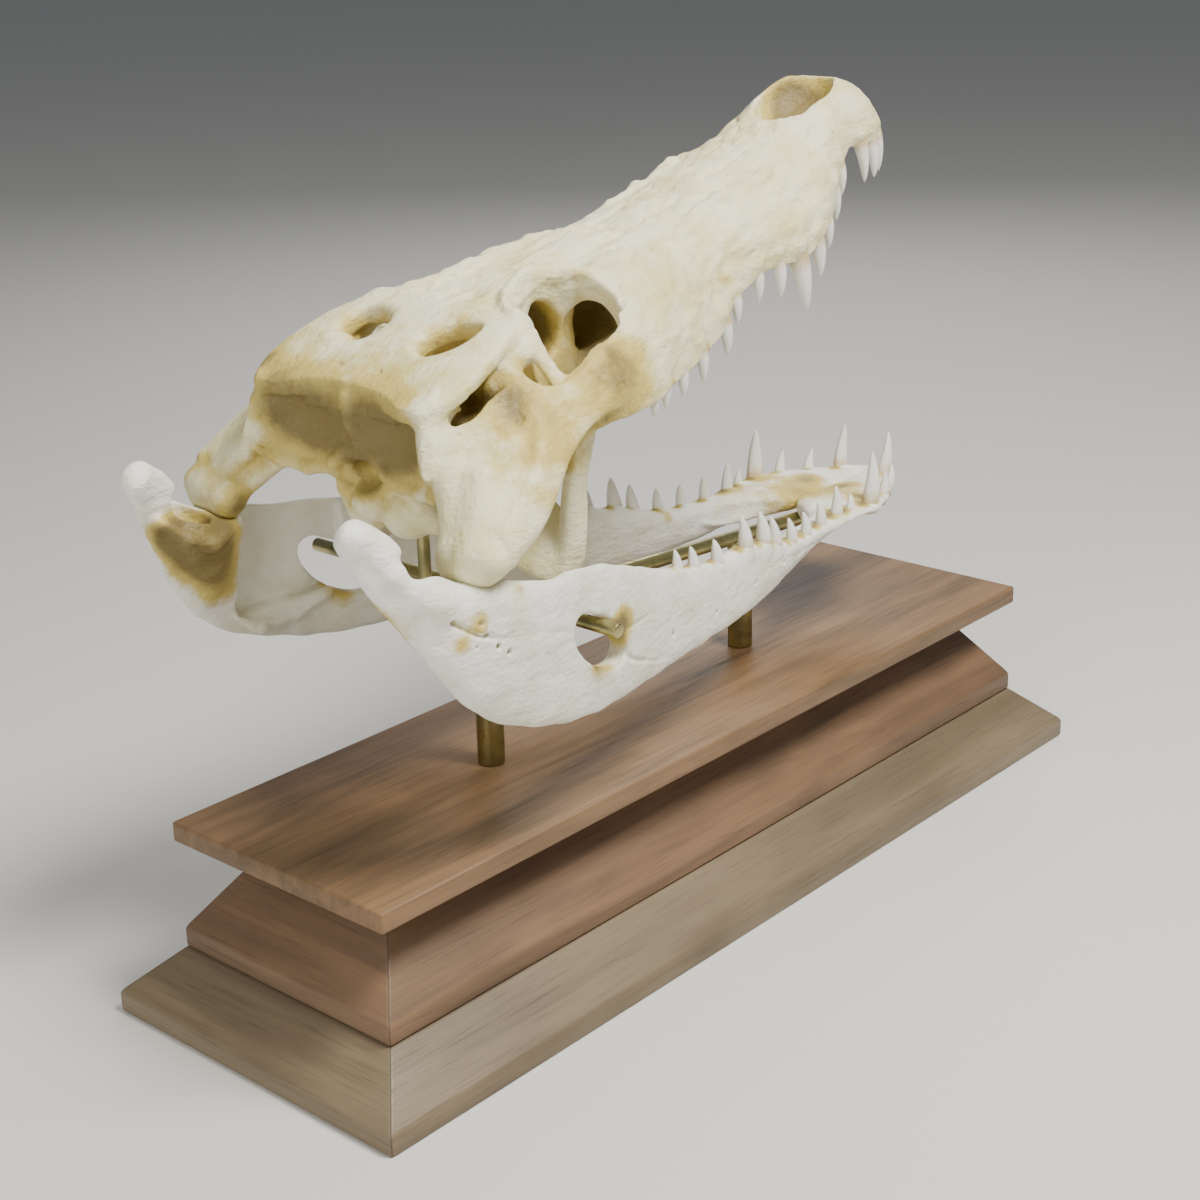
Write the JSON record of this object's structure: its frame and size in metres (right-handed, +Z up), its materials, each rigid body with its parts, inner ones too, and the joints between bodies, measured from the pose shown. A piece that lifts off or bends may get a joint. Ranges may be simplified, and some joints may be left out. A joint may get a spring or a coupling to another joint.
{
  "type": "mounted crocodile skull",
  "caption": "Life-size crocodile skull with open jaws, held on brass rods over a stepped wooden plinth.",
  "frame": {"origin": "centre of the plinth's underside, on the floor", "axes": "+X toward the snout along the plinth, +Y the animal's left, +Z up"},
  "size_m": [0.5, 0.1804, 0.3572],
  "materials": {
    "bone": "matte cleaned bone, ivory with ochre stains",
    "walnut": "satin oiled dark wood",
    "brass": "dull aged brass rod"
  },
  "bodies": {
    "root": {"rostrum": "bone", "braincase": "bone", "cheek_left": "bone", "cheek_right": "bone", "mandible_left": "bone", "mandible_right": "bone", "plinth_bottom": "walnut", "plinth_middle": "walnut", "plinth_top": "walnut", "post_rear": "brass", "post_front": "brass", "rail": "brass", "rod_cross": "brass", "rod_stem": "brass", "rod_cranium": "brass"}
  },
  "joints": []
}
